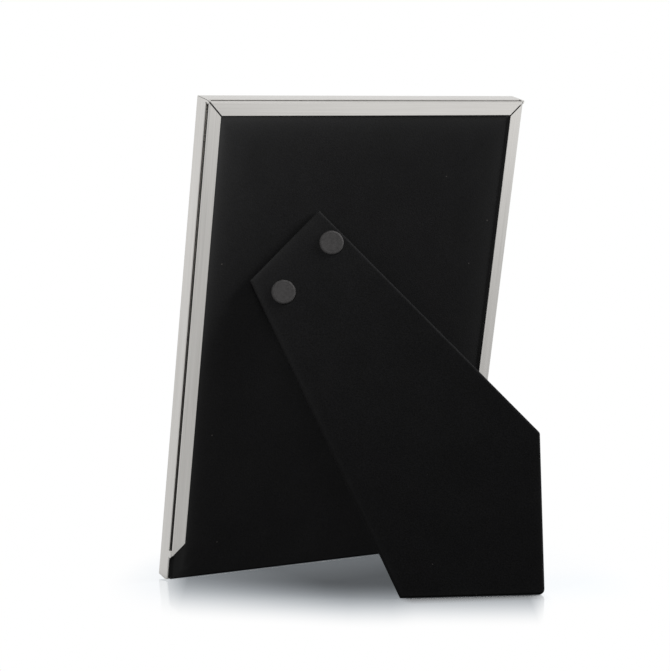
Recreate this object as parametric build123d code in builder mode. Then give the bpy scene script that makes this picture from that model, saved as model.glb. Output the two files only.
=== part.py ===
"""Easel back photo frame for a 13 x 18 cm print, standing upright on its open leg.

The frame leans back on the rear edge of its bottom rail. +Z is up, the picture faces -Y, and the origin is on
the surface below the middle of the whole. Pieces of the frame are drawn as seen from behind: x to the right,
y up the frame and z rearwards from the front face. Pieces of the leg are drawn on planes through the hinge pin.
"""
import os
from math import atan, cos, degrees, hypot, radians, sin, tan

from build123d import *

os.makedirs("parts", exist_ok=True)

# Frame rails, folded from sheet
frame_width = 134.0
frame_height = 184.0
sheet = 0.7
bend_radius = 0.5
bezel_width = 7.0
wall_depth = 7.2
bottom_setback = 0.9
slot_gap = 1.4
lip_width = 5.6
lip_inset = 0.45
lip_start = 9.8
lip_joint = 0.55
slot_top_bridge = 1.0
slot_bottom_bridge = 2.6

# Glass, picture and filler in the tray
glass = 2.0
glass_clearance = 0.25
glass_arris = 0.25
print_paper = 0.3
print_margin = 1.3
filler_clearance = 0.15

# Velvet back that slides up behind the lips
back_clearance = 0.1
back_side_clearance = 0.25
back_floor_clearance = 0.15
back_turn_in = 9.0
velvet = 0.35
velvet_round = 0.4

# Hinge
hinge_drop = 57.6
hinge_inset = 39.4
hinge_angle = 45.0
open_angle = 32.0
hinge_end_margin = 1.8
knuckle_count = 5
knuckle_gap = 0.2
leaf_sheet = 0.6
leaf_reach = 13.0
leaf_corner = 2.5
pin_radius = 0.7
pin_clearance = 0.05
knuckle_clearance = 0.1
leaf_setback = 0.25

# Leg
leg_thickness = 2.2
leg_top_width = 36.6
leg_side_margin = 4.7
foot_length = 53.6
side_foot_length = 59.1
leg_turn_in = 6.0
leg_top_corner = 1.0
leg_side_corner = 1.5
leg_foot_corner = 2.0
leg_toe_corner = 0.6
stop_clearance = 0.15

# Rivets
shank_radius = 1.5
shank_bore = 0.9
tail_radius = 2.3
tail_height = 0.45
leg_head_radius = 4.5
leg_head_height = 0.8
leg_rivet_margin = 5.55
leg_rivet_drop = 7.0
back_head_radius = 4.5
back_head_height = 0.5
back_rivet_spacing = 11.0
back_rivet_drop = 8.0

# One overrun for all cuts
overrun = 1.0

# Depths behind the front face
frame_depth = wall_depth + slot_gap + sheet
lip_depth = frame_depth - sheet
bottom_depth = wall_depth - bottom_setback
back_front = bottom_depth + back_clearance
back_rear = lip_depth - back_clearance
back_thickness = back_rear - back_front

# The hinge and its rivets keep their margins at the top of the leg
hinge_length = leg_top_width - 2 * hinge_end_margin
leg_rivet_spacing = leg_top_width - 2 * leg_rivet_margin

# Levels above the hinge pin's axis, out of the back or of the leg
knuckle_radius = pin_radius + leaf_sheet
pin_level = knuckle_radius + knuckle_clearance
leg_inner = knuckle_radius + knuckle_clearance
leg_outer = leg_inner + leg_thickness

# A leg hinged askew has its foot level on the table when the frame leans by this angle
turn = radians(hinge_angle)
swing = radians(open_angle)
lean = atan(cos(turn) * tan(swing / 2))

# The heel of the leg meets the back and stops the swing
leg_heel = (pin_level + leg_inner * cos(swing) - stop_clearance) / sin(swing)

# Directions: across and up the frame as seen from behind, out of its back, along the hinge pin, down the leg
across = Vector(-1, 0, 0)
upward = Vector(0, sin(lean), cos(lean))
rearward = Vector(0, cos(lean), -sin(lean))
pin_way = across * cos(turn) + upward * sin(turn)
fold_down = across * sin(turn) - upward * cos(turn)
leg_down = fold_down * cos(swing) + rearward * sin(swing)
leg_out = rearward * cos(swing) - fold_down * sin(swing)

# Hinge pin and leg outline, with the leg folded flat against the back
hinge_across = hinge_inset - frame_width / 2
hinge_up = frame_height - hinge_drop
pin_depth = back_rear + pin_level
foot_up = (pin_depth - bottom_depth - leg_inner) * tan(lean)
foot_side = frame_width / 2 - leg_side_margin


def on_leg(u, v):
    """A point of the frame's back, seen along the hinge: x along the pin, y up the leg."""
    du = u - hinge_across
    dv = v - hinge_up
    return (du * cos(turn) + dv * sin(turn), dv * cos(turn) - du * sin(turn))


# The leg's rearmost point lies on the rounded corner of its foot, and the frame's foremost on its bottom bend
foot_centre = on_leg(foot_side - leg_foot_corner, foot_up + leg_foot_corner)
pin_at = across * hinge_across + upward * hinge_up + rearward * pin_depth
foot_at = pin_at + pin_way * foot_centre[0] - leg_down * foot_centre[1] + leg_out * (leg_outer - velvet_round)
foot_spread = hypot(pin_way.Y, leg_down.Y) * (leg_foot_corner - velvet_round)
rearmost = foot_at.Y + foot_spread + velvet_round
foremost = bend_radius * (sin(lean) + cos(lean) - 1)

# Planes: the frame seen from behind, and the hinge pin with the leg folded and open
base = Vector(0, -(foremost + rearmost) / 2, bottom_depth * sin(lean))
rear_view = Plane(origin=base, x_dir=across, z_dir=rearward)
fold_plane = Plane(origin=base + pin_at, x_dir=pin_way, z_dir=rearward)
leg_plane = Plane(origin=base + pin_at, x_dir=pin_way, z_dir=leg_out)


def save(piece, name):
    """Labels a finished piece and writes it under its name."""
    piece.label = name
    export_step(piece, f"parts/{name}.step")


# Rails


def draw_section(plane, lipped):
    """Folded section of a rail: x inwards from the outer wall, y rearwards from the front face."""
    wall_end = frame_depth if lipped else bottom_depth
    with BuildSketch(plane) as section:
        with BuildLine():
            outline = [(0, wall_end), (0, 0), (bezel_width, 0), (bezel_width, sheet), (sheet, sheet)]
            if lipped:
                outline += [(sheet, lip_depth), (lip_width, lip_depth), (lip_width, frame_depth)]
            else:
                outline += [(sheet, bottom_depth)]
            Polyline(*outline, close=True)
        make_face()
        outer_bends = section.vertices().group_by(Axis.X)[0].sort_by(Axis.Y)
        fillet(outer_bends if lipped else outer_bends[:1], radius=bend_radius)
    return section.sketch


def mitre(u, v, way):
    """Cuts the rail at a corner of the frame, square to the given direction out of the rail."""
    corner = rear_view.from_local_coords((u, v, 0))
    split(bisect_by=Plane(origin=corner, z_dir=way), keep=Keep.BOTTOM)


def open_slot(middle, along, out, length):
    """Cuts the long slot in a wall, and sets the lip's outer edge in along it."""
    wall_face = Plane(origin=middle, x_dir=along, z_dir=out)
    with BuildSketch(wall_face) as slot:
        SlotOverall(length, slot_gap)
    extrude(slot.sketch, amount=2 * sheet, both=True, mode=Mode.SUBTRACT)
    lip_reach = slot_gap / 2 + sheet + overrun
    with BuildSketch(wall_face) as lip_edge:
        with Locations((0, -lip_reach / 2)):
            Rectangle(length, lip_reach)
    extrude(lip_edge.sketch, amount=lip_inset, both=True, mode=Mode.SUBTRACT)


def open_lip_joint(u, angle):
    """Leaves the narrow open line between two lips at an upper corner."""
    with BuildSketch(rear_view.offset(lip_depth)) as joint:
        with Locations((u, frame_height)):
            Rectangle(4 * lip_width, lip_joint, rotation=angle)
    extrude(joint.sketch, amount=sheet + overrun, mode=Mode.SUBTRACT)


half_width = frame_width / 2
slot_middle = wall_depth + slot_gap / 2

with BuildPart() as rail_right:
    right_end = rear_view.from_local_coords((-half_width, frame_height / 2, 0))
    section = draw_section(Plane(origin=right_end, x_dir=across, z_dir=-upward), lipped=True)
    extrude(section, amount=frame_height / 2, both=True)
    mitre(-half_width, frame_height, across + upward)
    mitre(-half_width, 0, across - upward)
    # The long slot in the wall, beside the lip
    slot_low = lip_start + slot_bottom_bridge
    slot_high = frame_height - slot_top_bridge
    slot_at = rear_view.from_local_coords((-half_width, (slot_low + slot_high) / 2, slot_middle))
    open_slot(slot_at, upward, -across, slot_high - slot_low)
    # The lip stops short of the bottom, cut askew, so that the back can slide out
    with BuildSketch(rear_view.offset(wall_depth)):
        with BuildLine():
            outside = -half_width - overrun
            inside = -half_width + lip_width + overrun
            Polyline(
                (outside, lip_start - overrun),
                (inside, lip_start + lip_width + overrun),
                (inside, -overrun),
                (outside, -overrun),
                close=True,
            )
        make_face()
    extrude(amount=frame_depth - wall_depth + overrun, mode=Mode.SUBTRACT)
    # The wall's lower rear corner is cut back to the bottom rail, which stands on the table
    corner_cut = bottom_setback + overrun
    wall_foot = rear_view.from_local_coords((-half_width, 0, bottom_depth))
    with BuildSketch(Plane(origin=wall_foot, x_dir=upward, z_dir=across)):
        with BuildLine():
            Polyline((0, 0), (corner_cut, corner_cut), (-overrun, corner_cut), (-overrun, 0), close=True)
        make_face()
    extrude(amount=2 * sheet, both=True, mode=Mode.SUBTRACT)
    open_lip_joint(-half_width, -45)
save(rail_right.part, "rail_right")

with BuildPart() as rail_left:
    mirror(rail_right.part, about=Plane.YZ)
save(rail_left.part, "rail_left")

with BuildPart() as rail_top:
    top_end = rear_view.from_local_coords((0, frame_height, 0))
    section = draw_section(Plane(origin=top_end, x_dir=-upward, z_dir=-across), lipped=True)
    extrude(section, amount=half_width, both=True)
    mitre(-half_width, frame_height, -across - upward)
    mitre(half_width, frame_height, across - upward)
    slot_at = rear_view.from_local_coords((0, frame_height, slot_middle))
    open_slot(slot_at, across, upward, frame_width - 2 * slot_top_bridge)
    open_lip_joint(-half_width, -45)
    open_lip_joint(half_width, 45)
save(rail_top.part, "rail_top")

with BuildPart() as rail_bottom:
    bottom_end = rear_view.from_local_coords((0, 0, 0))
    section = draw_section(Plane(origin=bottom_end, x_dir=upward, z_dir=across), lipped=False)
    extrude(section, amount=half_width, both=True)
    mitre(-half_width, 0, upward - across)
    mitre(half_width, 0, upward + across)
save(rail_bottom.part, "rail_bottom")

# Glass, picture and filler, in the tray behind the front face
tray_margin = sheet + glass_clearance
tray_middle = frame_height / 2

with BuildPart() as glass_pane:
    with BuildSketch(rear_view.offset(sheet)):
        with Locations((0, tray_middle)):
            Rectangle(frame_width - 2 * tray_margin, frame_height - 2 * tray_margin)
    extrude(amount=glass)
    chamfer(glass_pane.edges().filter_by(rear_view), length=glass_arris)
save(glass_pane.part, "glass_pane")

print_inset = sheet + print_margin
with BuildPart() as photo_insert:
    with BuildSketch(rear_view.offset(sheet + glass)):
        with Locations((0, tray_middle)):
            Rectangle(frame_width - 2 * print_inset, frame_height - 2 * print_inset)
    extrude(amount=print_paper)
save(photo_insert.part, "photo_insert")

filler_front = sheet + glass + print_paper
with BuildPart() as filler_board:
    with BuildSketch(rear_view.offset(filler_front)):
        with Locations((0, tray_middle)):
            Rectangle(frame_width - 2 * tray_margin, frame_height - 2 * tray_margin)
    extrude(amount=bottom_depth - filler_front - filler_clearance)
save(filler_board.part, "filler_board")

# Back: a board wrapped in velvet, with the edges turned in and a lining between them
back_low = (back_rear - bottom_depth) * tan(lean) + back_floor_clearance
back_high = frame_height - sheet - back_side_clearance
back_width = frame_width - 2 * (sheet + back_side_clearance)
back_height = back_high - back_low
back_middle = (back_low + back_high) / 2
back_rivet_spots = [(way * back_rivet_spacing / 2, -back_rivet_drop) for way in (-1, 1)]


def draw_back(depth, inset):
    """Outline of the back, drawn in by an inset, at a depth behind the front face."""
    with BuildSketch(rear_view.offset(depth)) as outline:
        with Locations((0, back_middle)):
            Rectangle(back_width - 2 * inset, back_height - 2 * inset)
    return outline.sketch


def bore_back(depth, radius, height):
    """Holes for the rivets of the fixed leaf, from a depth rearwards."""
    with BuildSketch(fold_plane.offset(depth - pin_depth)) as holes:
        with Locations(*back_rivet_spots):
            Circle(radius)
    extrude(holes.sketch, amount=height, mode=Mode.SUBTRACT)


board_front = back_front + velvet
board_rear = back_rear - velvet

with BuildPart() as back_board:
    extrude(draw_back(board_front, velvet), amount=board_rear - board_front)
    bore_back(back_front, back_head_radius, back_head_height)
    bore_back(back_front, shank_radius, back_thickness)
save(back_board.part, "back_board")

with BuildPart() as back_cover:
    extrude(draw_back(back_front, 0), amount=back_thickness)
    fillet(back_cover.faces().sort_by(Axis(base, rearward))[-1].edges(), radius=velvet_round)
    extrude(draw_back(board_front, velvet), amount=board_rear - board_front, mode=Mode.SUBTRACT)
    extrude(draw_back(back_front - overrun, back_turn_in), amount=overrun + velvet, mode=Mode.SUBTRACT)
    bore_back(board_rear, shank_radius, velvet)
save(back_cover.part, "back_cover")

with BuildPart() as back_lining:
    extrude(draw_back(back_front, back_turn_in), amount=velvet)
    bore_back(back_front, back_head_radius, velvet)
save(back_lining.part, "back_lining")

# Hinge: two leaves with rolled knuckles on one pin
knuckle_pitch = hinge_length / knuckle_count
knuckle_length = knuckle_pitch - knuckle_gap
leaf_edge = knuckle_radius + leaf_setback
pin_section = Plane(origin=base + pin_at - pin_way * (hinge_length / 2), x_dir=rearward, z_dir=pin_way)


def make_leaf(plane, level, first_knuckle, bore, rivet_spots):
    """A leaf drawn on its plane through the pin: plate, every second knuckle, pin bore and rivet holes."""
    with BuildPart() as leaf:
        with BuildSketch(plane.offset(level)) as plate:
            with Locations((0, -leaf_edge)):
                Rectangle(hinge_length, leaf_reach - leaf_edge, align=(Align.CENTER, Align.MAX))
            fillet(plate.vertices().group_by(Axis.Y)[0], radius=leaf_corner)
        extrude(amount=leaf_sheet)
        for knuckle in range(first_knuckle, knuckle_count, 2):
            start = knuckle * knuckle_pitch + knuckle_gap / 2
            with BuildSketch(plane.offset(level)):
                with Locations((start - hinge_length / 2, 0)):
                    Rectangle(knuckle_length, leaf_edge, align=(Align.MIN, Align.MAX))
            extrude(amount=leaf_sheet)
            with BuildSketch(pin_section.offset(start)):
                Circle(knuckle_radius)
            extrude(amount=knuckle_length)
        with BuildSketch(pin_section):
            Circle(bore)
        extrude(amount=hinge_length, mode=Mode.SUBTRACT)
        with BuildSketch(plane.offset(level)):
            with Locations(*rivet_spots):
                Circle(shank_radius)
        extrude(amount=leaf_sheet, mode=Mode.SUBTRACT)
    return leaf.part


leg_rivet_spots = [(way * leg_rivet_spacing / 2, -leg_rivet_drop) for way in (-1, 1)]
save(make_leaf(fold_plane, -pin_level, 0, pin_radius, back_rivet_spots), "hinge_fixed_leaf")
swing_level = leg_inner - leaf_sheet
save(make_leaf(leg_plane, swing_level, 1, pin_radius + pin_clearance, leg_rivet_spots), "hinge_swing_leaf")

with BuildPart() as hinge_pin:
    with BuildSketch(pin_section):
        Circle(pin_radius)
    extrude(amount=hinge_length)
save(hinge_pin.part, "hinge_pin")

# Leg: a five-sided board wrapped in velvet, with its own lining
leg_corners = [
    (-leg_top_width / 2, leg_heel),
    (leg_top_width / 2, leg_heel),
    on_leg(foot_side, foot_up + side_foot_length),
    on_leg(foot_side, foot_up),
    on_leg(foot_side - foot_length, foot_up),
]
leg_rounds = [leg_top_corner, leg_top_corner, leg_side_corner, leg_foot_corner, leg_toe_corner]


def draw_leg(level, inset):
    """Outline of the leg, drawn in by an inset, at a level above the hinge pin."""
    with BuildSketch(leg_plane.offset(level)) as outline:
        with BuildLine():
            FilletPolyline(*leg_corners, radius=leg_rounds, close=True)
        make_face()
        if inset:
            offset(amount=-inset, kind=Kind.INTERSECTION, mode=Mode.REPLACE)
    return outline.sketch


def bore_leg(level, height):
    """Holes for the rivets that hold the swinging leaf."""
    with BuildSketch(leg_plane.offset(level)) as holes:
        with Locations(*leg_rivet_spots):
            Circle(shank_radius)
    extrude(holes.sketch, amount=height, mode=Mode.SUBTRACT)


leg_board_low = leg_inner + velvet
leg_board_high = leg_outer - velvet

with BuildPart() as leg_board:
    extrude(draw_leg(leg_board_low, velvet), amount=leg_board_high - leg_board_low)
    bore_leg(leg_inner, leg_thickness)
save(leg_board.part, "leg_board")

with BuildPart() as leg_cover:
    extrude(draw_leg(leg_inner, 0), amount=leg_thickness)
    fillet(leg_cover.faces().sort_by(Axis(base, leg_out))[-1].edges(), radius=velvet_round)
    extrude(draw_leg(leg_board_low, velvet), amount=leg_board_high - leg_board_low, mode=Mode.SUBTRACT)
    extrude(draw_leg(leg_inner - overrun, leg_turn_in), amount=overrun + velvet, mode=Mode.SUBTRACT)
    bore_leg(leg_inner, leg_thickness)
save(leg_cover.part, "leg_cover")

with BuildPart() as leg_lining:
    extrude(draw_leg(leg_inner, leg_turn_in), amount=velvet)
    bore_leg(leg_inner, velvet)
save(leg_lining.part, "leg_lining")


# Rivets, turned about their own axes


def make_rivet(seat, x_dir, way, grip, head_radius, head_height, flush):
    """A tubular rivet: seat is under the head or, for a flush head, on its face, and way runs down the shank."""
    head_top = 0 if flush else -head_height
    head_seat = head_height if flush else 0
    end = grip + tail_height
    with BuildPart() as rivet:
        with BuildSketch(Plane(origin=seat, x_dir=x_dir, z_dir=x_dir.cross(way))):
            with BuildLine():
                if flush:
                    Polyline((0, head_top), (head_radius, head_top), (head_radius, head_seat))
                else:
                    Line((0, head_top), (head_radius - head_height, head_top))
                    CenterArc((head_radius - head_height, 0), head_height, -90, 90)
                Polyline(
                    (head_radius, head_seat),
                    (shank_radius, head_seat),
                    (shank_radius, grip),
                    (tail_radius, grip),
                    (tail_radius, end),
                    (shank_bore, end),
                    (shank_bore, grip / 2),
                    (0, grip / 2),
                    (0, head_top),
                )
            make_face()
        revolve(axis=Axis(seat, way))
    return rivet.part


for name, (s, y) in zip(("lower", "upper"), back_rivet_spots):
    seat = fold_plane.from_local_coords((s, y, back_front - pin_depth))
    grip = back_thickness + leaf_sheet
    rivet = make_rivet(seat, pin_way, rearward, grip, back_head_radius, back_head_height, flush=True)
    save(rivet, f"back_rivet_{name}")

for name, (s, y) in zip(("lower", "upper"), leg_rivet_spots):
    seat = leg_plane.from_local_coords((s, y, leg_outer))
    grip = leg_thickness + leaf_sheet
    rivet = make_rivet(seat, pin_way, -leg_out, grip, leg_head_radius, leg_head_height, flush=False)
    save(rivet, f"leg_rivet_{name}")

print(f"leans back {degrees(lean):.2f} degrees, stands {rearmost - foremost:.2f} deep")
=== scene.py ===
# %% [markdown]
# This lesson dresses an easel back photo frame that was built as exact solids. The frame stands on its open leg and
# shows its back: four rails of thin satin steel, a back wrapped in black velvet, and a five-sided velvet leg with two
# dark rivets. The solids already have the right sizes, so Blender only adds what they lack: soft cloth edges, the tiny
# rounding of cut sheet metal, and finishes.

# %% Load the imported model
from math import atan, cos, pi, radians, sin, tan

import bmesh
import bpy
import numpy as np
from mathutils import Matrix, Vector


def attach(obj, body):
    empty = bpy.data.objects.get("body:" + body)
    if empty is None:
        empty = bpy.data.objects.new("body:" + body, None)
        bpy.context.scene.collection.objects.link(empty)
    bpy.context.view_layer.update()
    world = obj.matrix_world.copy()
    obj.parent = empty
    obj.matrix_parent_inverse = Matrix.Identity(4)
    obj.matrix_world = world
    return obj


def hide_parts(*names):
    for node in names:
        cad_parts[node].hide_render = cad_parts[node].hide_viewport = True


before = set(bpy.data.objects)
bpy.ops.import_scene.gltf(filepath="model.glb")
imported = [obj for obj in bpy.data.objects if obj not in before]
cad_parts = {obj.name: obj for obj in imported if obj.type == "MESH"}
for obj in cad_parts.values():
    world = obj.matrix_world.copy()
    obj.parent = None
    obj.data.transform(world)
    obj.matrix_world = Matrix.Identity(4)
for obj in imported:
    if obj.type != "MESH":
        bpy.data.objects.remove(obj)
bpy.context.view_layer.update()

# %% [markdown]
# The frame leans back and its leg hangs askew on a hinge, so nothing lies along the world's axes. Each piece is worked
# out in flat local numbers first: across, up and out of the frame's back, or along, up and out of the leg. One line
# then places them in the shared frame. The alternative, turning objects afterwards, would slide their patterns on
# export.

# %% Directions and places
mm = 0.001
hinge_turn = radians(45)
leg_swing = radians(32)
lean = atan(cos(hinge_turn) * tan(leg_swing / 2))

across = np.array((-1.0, 0.0, 0.0))
upward = np.array((0.0, sin(lean), cos(lean)))
rearward = np.array((0.0, cos(lean), -sin(lean)))
pin_way = across * cos(hinge_turn) + upward * sin(hinge_turn)
fold_down = across * sin(hinge_turn) - upward * cos(hinge_turn)
leg_up = -fold_down * cos(leg_swing) - rearward * sin(leg_swing)
leg_out = rearward * cos(leg_swing) - fold_down * sin(leg_swing)

frame_base = np.array((0.0, -47.6268, 1.2519)) * mm
pin_middle = np.array((27.6, -12.8065, 123.164)) * mm


def place(origin, axes, *amounts):
    """Points in the shared frame: the origin, plus each amount times the axis that it is measured on."""
    return origin + sum(np.asarray(amount)[..., None] * axis for amount, axis in zip(amounts, axes))


print("the frame leans back", round(float(np.degrees(lean)), 2), "degrees")

# %% [markdown]
# Every new piece here is a tube of sorts: rows of points, where each row is a closed ring. Joining neighbouring rows
# gives the faces, and one face closes each end. With that one idea a rail is a section carried along a line, a velvet
# wrap is a set of rings that shrink and turn over the edge of a board, and a rivet is a profile turned about an axis.

# %% From rings of points to a mesh
crease = radians(38)


def ring_faces(rows, columns):
    """Corner numbers of the faces between neighbouring rings; the last column joins the first."""
    row = np.arange(rows - 1)[:, None] * columns
    column = np.arange(columns)[None, :]
    after = (column + 1) % columns
    return np.stack([row + column, row + after, row + columns + after, row + columns + column], -1).reshape(-1, 4)


def make_piece(name, body, node, shells):
    """One object from closed shells of rings. A shell is its points and its chart: metres along and around it."""
    points, charts, faces, start = [], [], [], 0
    for rings, chart in shells:
        rows, columns = rings.shape[:2]
        points.append(rings.reshape(-1, 3))
        charts.append(chart.reshape(-1, 2))
        faces += (ring_faces(rows, columns) + start).tolist()
        first = start + np.arange(columns)
        faces += [first[::-1].tolist(), (first + (rows - 1) * columns).tolist()]
        start += rows * columns
    mesh = bpy.data.meshes.new(name)
    mesh.from_pydata(np.concatenate(points), [], faces)
    work = bmesh.new()
    work.from_mesh(mesh)
    bmesh.ops.recalc_face_normals(work, faces=work.faces)
    work.to_mesh(mesh)
    work.free()
    corner_points = np.empty(len(mesh.loops), np.int32)
    mesh.loops.foreach_get("vertex_index", corner_points)
    chart_layer = mesh.uv_layers.new(name="chart")
    chart_layer.data.foreach_set("uv", np.concatenate(charts)[corner_points].astype(np.float32).ravel())
    mesh.shade_smooth()
    mesh.set_sharp_from_angle(angle=crease)
    piece = bpy.data.objects.new(name, mesh)
    bpy.context.scene.collection.objects.link(piece)
    piece.modifiers.new("flat faces stay flat", "WEIGHTED_NORMAL").keep_sharp = True
    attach(piece, body)
    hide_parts(node)
    print(name, "has", len(mesh.polygons), "faces")
    return piece


print("a tube of 3 rings with 4 points each has", len(ring_faces(3, 4)), "faces round it")

# %% [markdown]
# Neither cut sheet nor a wrapped board has a sharp corner. A Bevel modifier could round them all alike, but here each
# corner has a radius of its own, so the arcs are worked out with the outline.


# %% Outlines with rounded corners
def unit(vectors):
    """Each vector divided by its length."""
    return vectors / np.linalg.norm(vectors, axis=-1, keepdims=True)


def left_of(vectors):
    """Each flat vector (x, y) turned a quarter to the left: (-y, x)."""
    return np.stack([-vectors[..., 1], vectors[..., 0]], -1)


def rounded_loop(corners, radii, arc_steps=5, run_steps=1):
    """A closed outline whose corners are arcs. An arc's circle touches the edges at radius x tan(half the turn) from
    the corner; its points are the centre plus the arm to the first touch, turned evenly. Runs between arcs are divided
    evenly."""
    corners = np.asarray(corners, float)
    radii = np.broadcast_to(np.asarray(radii, float), len(corners))[:, None]
    arriving = unit(corners - np.roll(corners, 1, axis=0))
    leaving = np.roll(arriving, -1, axis=0)
    turn = np.arctan2((left_of(arriving) * leaving).sum(1), (arriving * leaving).sum(1))[:, None]
    touch = corners - arriving * radii * np.tan(np.abs(turn) / 2)
    arm = -left_of(arriving) * radii * np.sign(turn)
    angle = (turn * np.linspace(0, 1, arc_steps + 1))[..., None]
    arcs = (touch - arm)[:, None] + arm[:, None] * np.cos(angle) + left_of(arm)[:, None] * np.sin(angle)
    share = (np.arange(1, run_steps) / run_steps)[None, :, None]
    runs = arcs[:, -1:] * (1 - share) + np.roll(arcs[:, :1], -1, axis=0) * share
    return np.concatenate([arcs, runs], axis=1).reshape(-1, 2)


def lengths_round(loop):
    """Metres round a loop up to each of its points."""
    steps = np.linalg.norm(np.diff(loop, axis=0), axis=1)
    return np.concatenate([[0.0], np.cumsum(steps)])


print("a rounded square has", len(rounded_loop([(0, 0), (9, 0), (9, 9), (0, 9)], 1)), "points")

# %% [markdown]
# A rail is folded from 0.7 mm sheet: a front face, a wall and, on three sides, a lip over the back. A long slot divides
# the wall from the lip, and short bridges join them at its ends. Cut sheet is never knife sharp, and the light that
# catches its edges is what makes it read as metal, so each rail is carried again from a section with rounded edges. The
# front and wall make one shell, the lip another, and each bridge is a small shell that sinks into both.

# %% Sections of the rails
frame_width, frame_height = 134 * mm, 184 * mm
half_width = frame_width / 2
sheet, bend, cut_edge = 0.7 * mm, 0.5 * mm, 0.14 * mm
bezel, wall_depth, bottom_depth, lip_depth, frame_depth = 7 * mm, 7.2 * mm, 6.3 * mm, 8.6 * mm, 9.3 * mm
lip_width, side_inset, top_inset = 5.6 * mm, 0.65 * mm, 0.35 * mm
lip_start, lip_joint, lip_bow = 9.8 * mm, 0.55 * mm, 0.12 * mm
top_bridge, bottom_bridge, rolled_edge = 0.9 * mm, 2.6 * mm, 0.3 * mm
corner_seam, bridge_sink, bridge_skin = 0.11 * mm, 0.3 * mm, 0.006 * mm


def tray_section(depth):
    """Front face and wall, as (inwards, rearwards), with a wall of this depth."""
    return rounded_loop(
        [(0, depth), (0, 0), (bezel, 0), (bezel, sheet), (sheet, sheet), (sheet, depth)],
        [rolled_edge, bend, cut_edge, cut_edge, cut_edge, cut_edge],
    )


def lip_section(inset):
    """The folded lip, with its outer edge set in from the wall."""
    return rounded_loop(
        [(inset, frame_depth), (inset, lip_depth), (lip_width, lip_depth), (lip_width, frame_depth)],
        [bend, cut_edge, cut_edge, cut_edge],
    )


print("a side rail's tray is", round(lengths_round(tray_section(wall_depth))[-1] / mm, 1), "mm round")


# %% Carrying a section, and bridging a slot's end
def carry(section, near, far, bow=0.0, stations=33):
    """A section (inwards, rearwards) carried along a rail: each point runs from its own near end to its own far end,
    and moves rearwards by bow x (1 - place squared), in proportion to its distance in from the wall."""
    share = np.linspace(0, 1, stations)[:, None]
    inwards, rearwards = section.T
    along = near + (far - near) * share
    rearwards = rearwards + bow * (1 - (2 * share - 1) ** 2) * inwards / lip_width + 0 * along
    around = np.broadcast_to(lengths_round(section), along.shape)
    return np.broadcast_to(inwards, along.shape), along, rearwards, np.stack([along, around], -1)


def bridge(slot_end, rail_end, slope, arc_points=13):
    """The wall left at a slot's end: an outline (rearwards, along) with half an ellipse taken out, given the sheet's
    thickness; its outer end follows the mitre by slope x distance in from the wall."""
    way = np.sign(rail_end - slot_end)
    radius, middle = (lip_depth - wall_depth) / 2, (lip_depth + wall_depth) / 2
    turn = np.linspace(0, pi, arc_points)
    start = slot_end - way * radius / 2
    hollow = np.stack([middle + radius * np.cos(turn), start + way * radius / 2 * np.sin(turn)], -1)
    low, high = wall_depth - bridge_sink, lip_depth + bridge_sink
    outline = np.concatenate([[(low, start), (low, rail_end), (high, rail_end), (high, start)], hollow])
    inwards = np.array([[bridge_skin], [sheet - bridge_skin]])
    rearwards, along, inwards = np.broadcast_arrays(*outline.T, inwards)
    along = along + np.where(along == rail_end, slope * inwards, 0)
    return inwards, along, rearwards, np.stack([along, rearwards], -1)


print("the slot is", round((lip_depth - wall_depth) / mm, 2), "mm wide, and the lip bows by", lip_bow / mm, "mm")


# %% The four rails
def make_rail(name, node, origin, axes, ends, depth, corner_cut=0, inset=0, lip_ends=None, bridges=()):
    """Shells of one rail: the tray between its mitres, then the lip and the bridges where there are any. What is deeper
    than the bottom rail starts later by corner cut x (depth - the bottom rail's depth)."""
    section = tray_section(depth)
    inwards, rearwards = section.T
    near = ends[0] + inwards + corner_seam
    near = np.maximum(near, ends[0] + corner_cut * (rearwards - bottom_depth))
    parts = [carry(section, near, ends[1] - inwards - corner_seam)]
    if lip_ends:
        section = lip_section(inset)
        inwards = section[:, 0]
        parts.append(carry(section, lip_ends[0] + inwards, lip_ends[1] - inwards, bow=lip_bow))
    parts += [bridge(*each) for each in bridges]
    shells = [(place(origin, axes, *part[:3]), part[3]) for part in parts]
    return make_piece(name, "frame", node, shells)


joint_step = lip_joint / 2 * 2**0.5
side_bridges = (
    (lip_start + bottom_bridge, lip_start, 1),
    (frame_height - top_bridge, frame_height - corner_seam, -1),
)
side_sizes = ((0, frame_height), wall_depth, 1, side_inset, (lip_start, frame_height - joint_step), side_bridges)
right_origin = place(frame_base, [across], -half_width)
left_origin = place(frame_base, [across], half_width)
right_rail = make_rail("right_rail", "rail_right", right_origin, [across, upward, rearward], *side_sizes)
left_rail = make_rail("left_rail", "rail_left", left_origin, [-across, upward, rearward], *side_sizes)

level_ends = (-half_width, half_width)
top_lip = (-half_width + joint_step, half_width - joint_step)
top_bridges = (
    (-half_width + top_bridge, -half_width + corner_seam, 1),
    (half_width - top_bridge, half_width - corner_seam, -1),
)
top_sizes = (level_ends, wall_depth, 0, top_inset, top_lip, top_bridges)
top_origin = place(frame_base, [upward], frame_height)
top_rail = make_rail("top_rail", "rail_top", top_origin, [-upward, across, rearward], *top_sizes)
bottom_rail = make_rail("bottom_rail", "rail_bottom", frame_base, [upward, across, rearward], level_ends, bottom_depth)

# %% [markdown]
# The back and the leg are boards wrapped in black velvet: the cloth is glued over the face, pulled round the edges and
# turned in. A box with a cloth colour would show hard edges, so each wrap is its own sheet with thickness. Its rings
# start in the middle of the face, run out to the edge, turn over it in a soft arc, run in behind the board to the cut
# edge of the cloth, and come back along the cloth's own inner side.

# %% A velvet wrap
velvet, velvet_soft, rim_width = 0.35 * mm, 0.95 * mm, 5 * mm
fold_reach, least_radius = 0.8 * mm, 0.05 * mm
glue_wave, flat_share = 0.05 * mm, 0.15
face_rings, rim_rings, behind_rings, crowding, hub = 36, 8, 6, 1.6, 0.02
corner_steps, side_steps = 5, 30


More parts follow.
